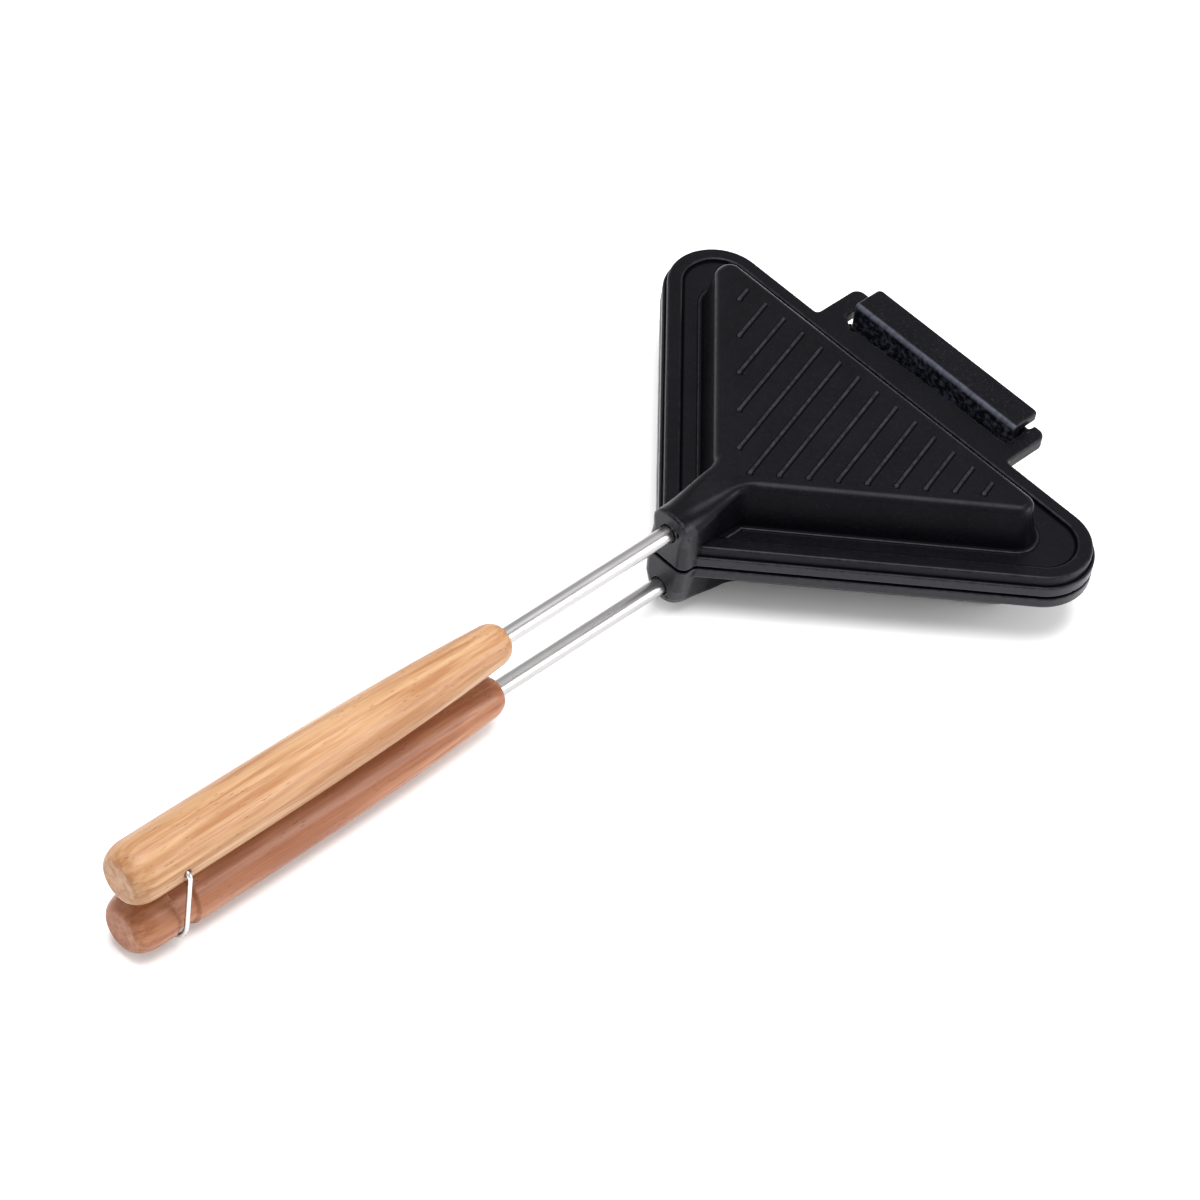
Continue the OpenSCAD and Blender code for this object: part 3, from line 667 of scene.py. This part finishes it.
# ---------------------------------------------------------------- finishes
class Finish:
    """Principled material with short ways to add its nodes."""

    def __init__(self, name, **sockets):
        self.material = bpy.data.materials.new(name)
        self.material.use_nodes = True
        self.nodes = self.material.node_tree.nodes
        self.links = self.material.node_tree.links
        self.shader = self.nodes["Principled BSDF"]
        for key, value in sockets.items():
            self.shader.inputs[key.replace("_", " ")].default_value = value
        self.place = self.nodes.new("ShaderNodeTexCoord").outputs["Object"]

    def node(self, kind, links=None, **settings):
        node = self.nodes.new(kind)
        for key, value in settings.items():
            setattr(node, key, value)
        for key, value in (links or {}).items():
            socket = node.inputs[key]
            if isinstance(value, bpy.types.NodeSocket):
                self.links.new(value, socket)
            else:
                socket.default_value = value
        return node

    def math(self, operation, *values):
        return self.node("ShaderNodeMath", dict(enumerate(values)), operation=operation).outputs[0]

    def noise(self, scale, detail=2.0, roughness=0.5, stretch=None, shift=(0, 0, 0),
              distortion=0.0):
        place = self.place
        if stretch:
            place = self.node("ShaderNodeMapping", {
                "Vector": place, "Scale": stretch, "Location": shift}).outputs[0]
        return self.node("ShaderNodeTexNoise", {
            "Vector": place, "Scale": scale, "Detail": detail, "Roughness": roughness,
            "Distortion": distortion}).outputs["Fac"]

    def spread(self, value, low, high, to_low=0.0, to_high=1.0):
        return self.node("ShaderNodeMapRange", {
            "Value": value, "From Min": low, "From Max": high,
            "To Min": to_low, "To Max": to_high}).outputs[0]

    def past(self, place, start, end):
        """Share that goes from 0 to 1 between two places in millimetres."""
        return self.spread(place, start * MM, end * MM)

    def attribute(self, name):
        return self.node("ShaderNodeAttribute", attribute_name=name).outputs["Fac"]

    def mix(self, share, a, b, blend="MIX"):
        node = self.node("ShaderNodeMix", data_type="RGBA", blend_type=blend)
        for key, value in (("Factor", share), ("A", a), ("B", b)):
            socket = next(s for s in node.inputs if s.name == key and (
                s.type == "RGBA" or (key == "Factor" and s.type == "VALUE")) and s.enabled)
            if isinstance(value, bpy.types.NodeSocket):
                self.links.new(value, socket)
            else:
                socket.default_value = value if key == "Factor" else (*value, 1.0)
        return next(s for s in node.outputs if s.type == "RGBA" and s.enabled)

    def bump(self, height, distance, strength=1.0, normal=None):
        links = {"Height": height, "Distance": distance, "Strength": strength}
        if normal is not None:
            links["Normal"] = normal
        return self.node("ShaderNodeBump", links).outputs[0]

    def feed(self, **sockets):
        for key, value in sockets.items():
            self.links.new(value, self.shader.inputs[key.replace("_", " ")])
        return self.material


def coating():
    """Baked non-stick coating: charcoal, satin, with a fine grain, brighter edges that are partly
    worn and partly a painted highlight, painted floor reflection, painted light on the hook and
    painted shade in inner corners.
    """
    f = Finish("nonstick_coating", IOR=1.5, Specular_IOR_Level=0.12,
               Specular_Tint=(0.94, 0.93, 1.0, 1.0))
    cloud = f.noise(55, 3)
    grain = f.noise(1500, 2, 0.65)
    coarse = f.noise(560, 3, 0.6)
    # The hinge's cast skin is coarser than the plates'
    x, y, z = f.node("ShaderNodeSeparateXYZ", {0: f.place}).outputs
    hinge = f.past(x, HINGE_EDGE_X - 5.5, HINGE_EDGE_X - 7)
    floor_sheen = f.math("MULTIPLY", f.attribute("floor_sheen"), f.math("SUBTRACT", 1.0, hinge))
    bend = f.attribute("bend")
    tone = f.mix(f.spread(cloud, 0.35, 0.65), (0.0013, 0.0013, 0.002), (0.0024, 0.0024, 0.0035))
    speck = f.math("ADD", 0.3, f.math("MULTIPLY", hinge, 0.6))
    speck = f.math("MULTIPLY", f.spread(grain, 0.56, 0.74), speck)
    tone = f.mix(speck, tone, (0.014, 0.0145, 0.021))
    # Painted reflection of the bright floor, in coarse patches, on the rim's outer sides and the
    # socket ends
    painted_floor_reflection = f.math("MULTIPLY", floor_sheen, f.spread(coarse, 0.3, 0.65, 0.5, 1.0))
    tone = f.mix(painted_floor_reflection, tone, (0.0095, 0.0095, 0.012))
    # Convex edges are drawn lighter: partly real wear, partly a painted highlight
    wear_and_highlight = f.math("MULTIPLY", f.spread(bend, 0.3, 2.6), f.spread(coarse, 0.35, 0.62, 0.35, 1.0))
    tone = f.mix(f.math("MULTIPLY", wear_and_highlight, 0.45), tone, (0.034, 0.036, 0.046))
    # Painted light on the hook: its near face is drawn lighter in coarse mottled specks, partly
    # rough cast skin and partly painted light, and its top edge carries a painted highlight
    face_x, top_z = HINGE_EDGE_X + HOOK_WEB_NEAR, GAP_MIDDLE_Z + LEG_TOP
    middle = f.past(f.math("ABSOLUTE", y), HOOK_RIGHT + 0.1, HOOK_RIGHT - 0.3)
    # web: mask of the hook's near face, where the painted light is laid
    web = f.math("MULTIPLY", f.past(x, face_x + 0.55, face_x + 0.15),
                 f.past(x, face_x - 0.55, face_x - 0.15))
    web = f.math("MULTIPLY", web, middle)
    web = f.math("MULTIPLY", web, f.spread(coarse, 0.46, 0.68, 0.06, 1.0))
    tone = f.mix(web, tone, (0.055, 0.058, 0.08))
    painted_hook_edge_highlight = f.math("MULTIPLY", hinge, middle)
    painted_hook_edge_highlight = f.math("MULTIPLY", painted_hook_edge_highlight, f.past(x, face_x - 1.55, face_x - 0.85))
    painted_hook_edge_highlight = f.math("MULTIPLY", painted_hook_edge_highlight, f.past(z, top_z - 1.5, top_z - 0.8))
    painted_hook_edge_highlight = f.math("MULTIPLY", painted_hook_edge_highlight, f.spread(coarse, 0.3, 0.6, 0.4, 0.9))
    tone = f.mix(painted_hook_edge_highlight, tone, (0.06, 0.064, 0.085))
    # Painted shade: the corner where the track meets the rim's ridge is drawn near black, rougher
    # and less shiny
    off_corner = f.math("ADD", f.attribute("inset"), RIM_WIDTH + 0.3)
    painted_corner_shade = f.spread(f.math("ABSOLUTE", off_corner), 0.6, 0.35)
    low_z = GAP_MIDDLE_Z + RIM_TOP - TRACK_DEPTH - 0.3
    high_z = GAP_MIDDLE_Z + RIM_TOP - 0.25
    painted_corner_shade = f.math("MULTIPLY", painted_corner_shade, f.past(z, high_z, high_z - 0.15))
    painted_corner_shade = f.math("MULTIPLY", painted_corner_shade, f.past(z, low_z - 0.1, low_z))
    # deep: painted shade in every inner crease and in that corner
    deep = f.math("MAXIMUM", f.spread(bend, -0.3, -1.8), painted_corner_shade)
    tone = f.mix(f.math("MULTIPLY", deep, 0.8), tone, (0.0008, 0.0008, 0.001))
    rough = f.math("ADD", f.spread(coarse, 0.3, 0.7, 0.28, 0.4), f.math("MULTIPLY", deep, 0.3))
    level = f.math("ADD", 0.1, f.math("MULTIPLY", floor_sheen, 0.12))
    level = f.math("ADD", level, f.math("MULTIPLY", wear_and_highlight, 0.12))
    level = f.math("MULTIPLY", level, f.math("SUBTRACT", 1.0, f.math("MULTIPLY", deep, 0.85)))
    dull = f.math("MULTIPLY", f.attribute("steep"), 0.45)
    level = f.math("MULTIPLY", level, f.math("SUBTRACT", 1.0, dull))
    normal = f.bump(coarse, 0.00006, f.math("ADD", 0.4, f.math("MULTIPLY", hinge, 0.6)))
    normal = f.bump(grain, 0.00004, 0.6, normal)
    return f.feed(Base_Color=tone, Roughness=rough, Specular_IOR_Level=level, Normal=normal)


def drawn_steel(name, colour, rough):
    """Bright drawn wire with fine lines along its length."""
    f = Finish(name, Metallic=1.0)
    lines = f.noise(700, 2, 0.5, stretch=(0.02, 1.0, 1.0))
    smear = f.noise(60, 2, 0.5)
    tone = f.mix(f.spread(lines, 0.3, 0.7), tuple(c * 0.93 for c in colour), colour)
    roughness = f.math("ADD", f.spread(smear, 0.3, 0.7, rough - 0.03, rough + 0.04),
                       f.spread(lines, 0.3, 0.7, 0.0, 0.03))
    return f.feed(Base_Color=tone, Roughness=roughness, Normal=f.bump(lines, 0.00001, 0.3))


def beech(name, light, dark, pore, shift):
    """Turned and oiled beech: long soft grain and short pore flecks."""
    f = Finish(name, IOR=1.45, Specular_IOR_Level=0.3, Coat_Weight=0.1, Coat_Roughness=0.2)
    broad = f.noise(1.0, 3, 0.55, stretch=(8, 85, 85), shift=shift, distortion=0.8)
    streak = f.noise(1.0, 4, 0.62, stretch=(22, 520, 520), shift=shift)
    fine = f.noise(1.0, 3, 0.6, stretch=(60, 1500, 1500), shift=shift)
    tone = f.mix(f.spread(broad, 0.36, 0.64), dark, light)
    late_wood = tuple(c * k for c, k in zip(dark, (0.82, 0.7, 0.6)))
    tone = f.mix(f.spread(streak, 0.42, 0.62, 0, 0.9), tone, late_wood)
    tone = f.mix(f.spread(fine, 0.35, 0.7, 0, 0.3), tone, tuple(c * 0.62 for c in dark))
    fleck = f.node("ShaderNodeTexVoronoi", {
        "Vector": f.node("ShaderNodeMapping", {
            "Vector": f.place, "Scale": (240, 1900, 1900), "Location": shift}).outputs[0],
        "Scale": 1.0, "Randomness": 1.0}, feature="F1").outputs["Distance"]
    spots = f.spread(fleck, 0.24, 0.1)
    where = f.spread(f.noise(1.0, 2, 0.5, stretch=(60, 260, 260), shift=shift), 0.5, 0.6)
    spots = f.math("MULTIPLY", spots, where)
    tone = f.mix(f.math("MULTIPLY", spots, 0.85), tone, pore)
    rough = f.math("ADD", f.spread(streak, 0.3, 0.7, 0.36, 0.5), f.math("MULTIPLY", spots, 0.2))
    normal = f.bump(streak, 0.00003, 0.4)
    normal = f.bump(f.math("MULTIPLY", spots, -1.0), 0.00005, 0.5, normal)
    return f.feed(Base_Color=tone, Roughness=rough, Normal=normal)


def floor_finish():
    """Matt pale floor with the faintest unevenness."""
    f = Finish("pale_floor")
    speck = f.noise(40, 2)
    tone = f.mix(f.spread(speck, 0.3, 0.7), (0.95, 0.95, 0.95), (0.97, 0.97, 0.97))
    return f.feed(Base_Color=tone, Roughness=f.spread(speck, 0.3, 0.7, 0.75, 0.85))


# ---------------------------------------------------------------- camera and studio
def camera():
    """Camera at the photograph's angle. Gives back its right and back directions."""
    data = bpy.data.cameras.new("camera")
    data.lens, data.sensor_width = 146.57, 36.0
    data.clip_start, data.clip_end = 0.05, 20.0
    obj = bpy.data.objects.new("camera", data)
    right = Vector((-0.71776668, 0.68802895, 0.10689791))
    up = Vector((-0.457581, -0.58182541, 0.67238294))
    back = Vector((0.52481485, 0.43369962, 0.73244386))
    turn = Matrix((right, up, back)).transposed().to_4x4()
    obj.matrix_world = Matrix.Translation((0.68629, 0.579775, 0.999627)) @ turn
    bpy.context.scene.collection.objects.link(obj)
    bpy.context.scene.camera = obj
    return right, back


def studio(right, back):
    """Pale floor, pale room and three large soft lamps."""
    mesh = bpy.data.meshes.new("floor")
    mesh.from_pydata([(-6, -6, 0), (6, -6, 0), (6, 6, 0), (-6, 6, 0)], [], [(0, 1, 2, 3)])
    floor = bpy.data.objects.new("floor", mesh)
    floor.data.materials.append(floor_finish())
    bpy.context.scene.collection.objects.link(floor)

    def lamp(name, place, size, power):
        data = bpy.data.lights.new(name, "AREA")
        data.shape, data.size, data.energy = "DISK", size, power
        obj = bpy.data.objects.new(name, data)
        place = Vector(place)
        obj.location = place
        obj.rotation_mode = "QUATERNION"
        obj.rotation_quaternion = (Vector() - place).to_track_quat("-Z", "Y")
        bpy.context.scene.collection.objects.link(obj)

    flat = Vector((right.x, right.y, 0)).normalized()
    away = Vector((-back.x, -back.y, 0)).normalized()
    lamp("overhead", (0, 0, 1.6), size=1.3, power=34)
    lamp("left", -flat * 1.4 + away * 0.3 + Vector((0, 0, 0.9)), size=0.8, power=3)
    lamp("right", flat * 1.5 - away * 0.3 + Vector((0, 0, 0.6)), size=0.8, power=14)
    world = bpy.data.worlds.new("room")
    world.use_nodes = True
    background = world.node_tree.nodes["Background"].inputs
    background["Color"].default_value = (1.0, 1.0, 1.0, 1.0)
    background["Strength"].default_value = 0.75
    bpy.context.scene.world = world
    bpy.context.scene.view_settings.view_transform = "Standard"


# ---------------------------------------------------------------- making the pie iron
studio(*camera())

black = coating()
rod_steel = drawn_steel("rod_steel", (0.43, 0.42, 0.42), 0.27)
wire_steel = drawn_steel("wire_steel", (0.62, 0.62, 0.63), 0.2)
pin_steel = drawn_steel("pin_steel", (0.3, 0.29, 0.29), 0.38)
upper_beech = beech("light_beech", light=(0.46, 0.28, 0.15), dark=(0.35, 0.175, 0.078),
                    pore=(0.13, 0.048, 0.02), shift=(0.0, 3.0, 1.0))
# The lower handle's darker, redder beech is partly its own tone and partly painted shade from the
# upper handle
lower_beech_shaded = beech("red_beech_shaded", light=(0.4, 0.18, 0.088), dark=(0.27, 0.098, 0.042),
                    pore=(0.1, 0.033, 0.014), shift=(4.0, 7.0, 2.0))

# Millimetres between scanned points, and the share of the skin's faces that is kept
SCAN_STEP = 0.4
KEEP = 0.39

for name, body, upper, field, out_h in (
        ("upper_casting", "upper_half", True, upper_plate_shape, 0.0),
        ("lower_casting", "lower_half", False, lower_plate_shape, -LEG_TOP)):
    low = (HOOK_OUT, -81.0, out_h)
    high = (SOCKET_END, 81.0, POCKET_TOP)
    obj = casting(name, field, low, high, upper, SCAN_STEP, KEEP)
    obj.data.materials.append(black)
    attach(obj, body)
    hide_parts(name.split("_")[0] + "_plate")

ribs = rib_tree(black)
rib_start = POCKET_BACK_INSET + RIB_BACK_GAP + RIB_WIDTH / 2
rooms = {
    "Start": (HINGE_EDGE_X + rib_start) * MM,
    "Room A": (POCKET_POINT - (RIB_GAP_A + RIB_WIDTH / 2) * math.sqrt(2) - rib_start) * MM,
    "Room B": (POCKET_POINT - (RIB_GAP_B + RIB_WIDTH / 2) * math.sqrt(2) - rib_start) * MM}
for name, body, side in (("upper_ribs", "upper_half", 1.0), ("lower_ribs", "lower_half", -1.0)):
    obj = grown(name, ribs, {
        **rooms, "Face": (GAP_MIDDLE_Z + side * POCKET_TOP) * MM, "Side": side})
    if side < 0:
        obj.data.flip_normals()
    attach(obj, body)

handles = handle_tree(upper_beech)
front_x = HANDLE_FRONT_X + HANDLE_FRONT_SHORT
grip_length = HANDLE_LENGTH - HANDLE_FRONT_SHORT
for name, body, side, wood, changes in (
        ("upper_grip", "upper_half", 1, upper_beech, {"Length": grip_length * MM}),
        ("lower_grip", "lower_half", -1, lower_beech_shaded, {
            "Length": (grip_length - LOWER_REAR_SHORT) * MM,
            "Groove Depth": GROOVE_DEPTH * MM, "Hole Radius": PINHOLE_R * MM})):
    obj = grown(name, handles, {
        "Hole Place": (RING_X - front_x) * MM,
        "Groove Place": (RING_X - front_x - GROOVE_SHIFT) * MM,
        "Front": (HINGE_EDGE_X + front_x) * MM, "Height": (GAP_MIDDLE_Z + side * ROD_H) * MM,
        **changes})
    obj.data.materials.clear()
    obj.data.materials.append(wood)
    obj.data.polygons.foreach_set("use_smooth", np.ones(len(obj.data.polygons), bool))
    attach(obj, body)
    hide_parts(name.split("_")[0] + "_handle")

ring_low, ring_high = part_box("latch_ring")
wire = grown("latch_wire", wire_tree(wire_steel), {
    "Half Width": (ring_high.y - ring_low.y) / 2 - WIRE_R * MM,
    "Length": ring_high.z - ring_low.z - 2 * WIRE_R * MM,
    "Place": (ring_low.x + ring_high.x) / 2, "Top": ring_high.z - WIRE_R * MM})
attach(wire, "ring")
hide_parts("latch_ring")

for name, finish in (("upper_rod", rod_steel), ("lower_rod", rod_steel),
                     ("upper_lock_pin", pin_steel), ("lower_lock_pin", pin_steel)):
    node = frame["nodes"][name]
    node.data.materials.clear()
    node.data.materials.append(finish)
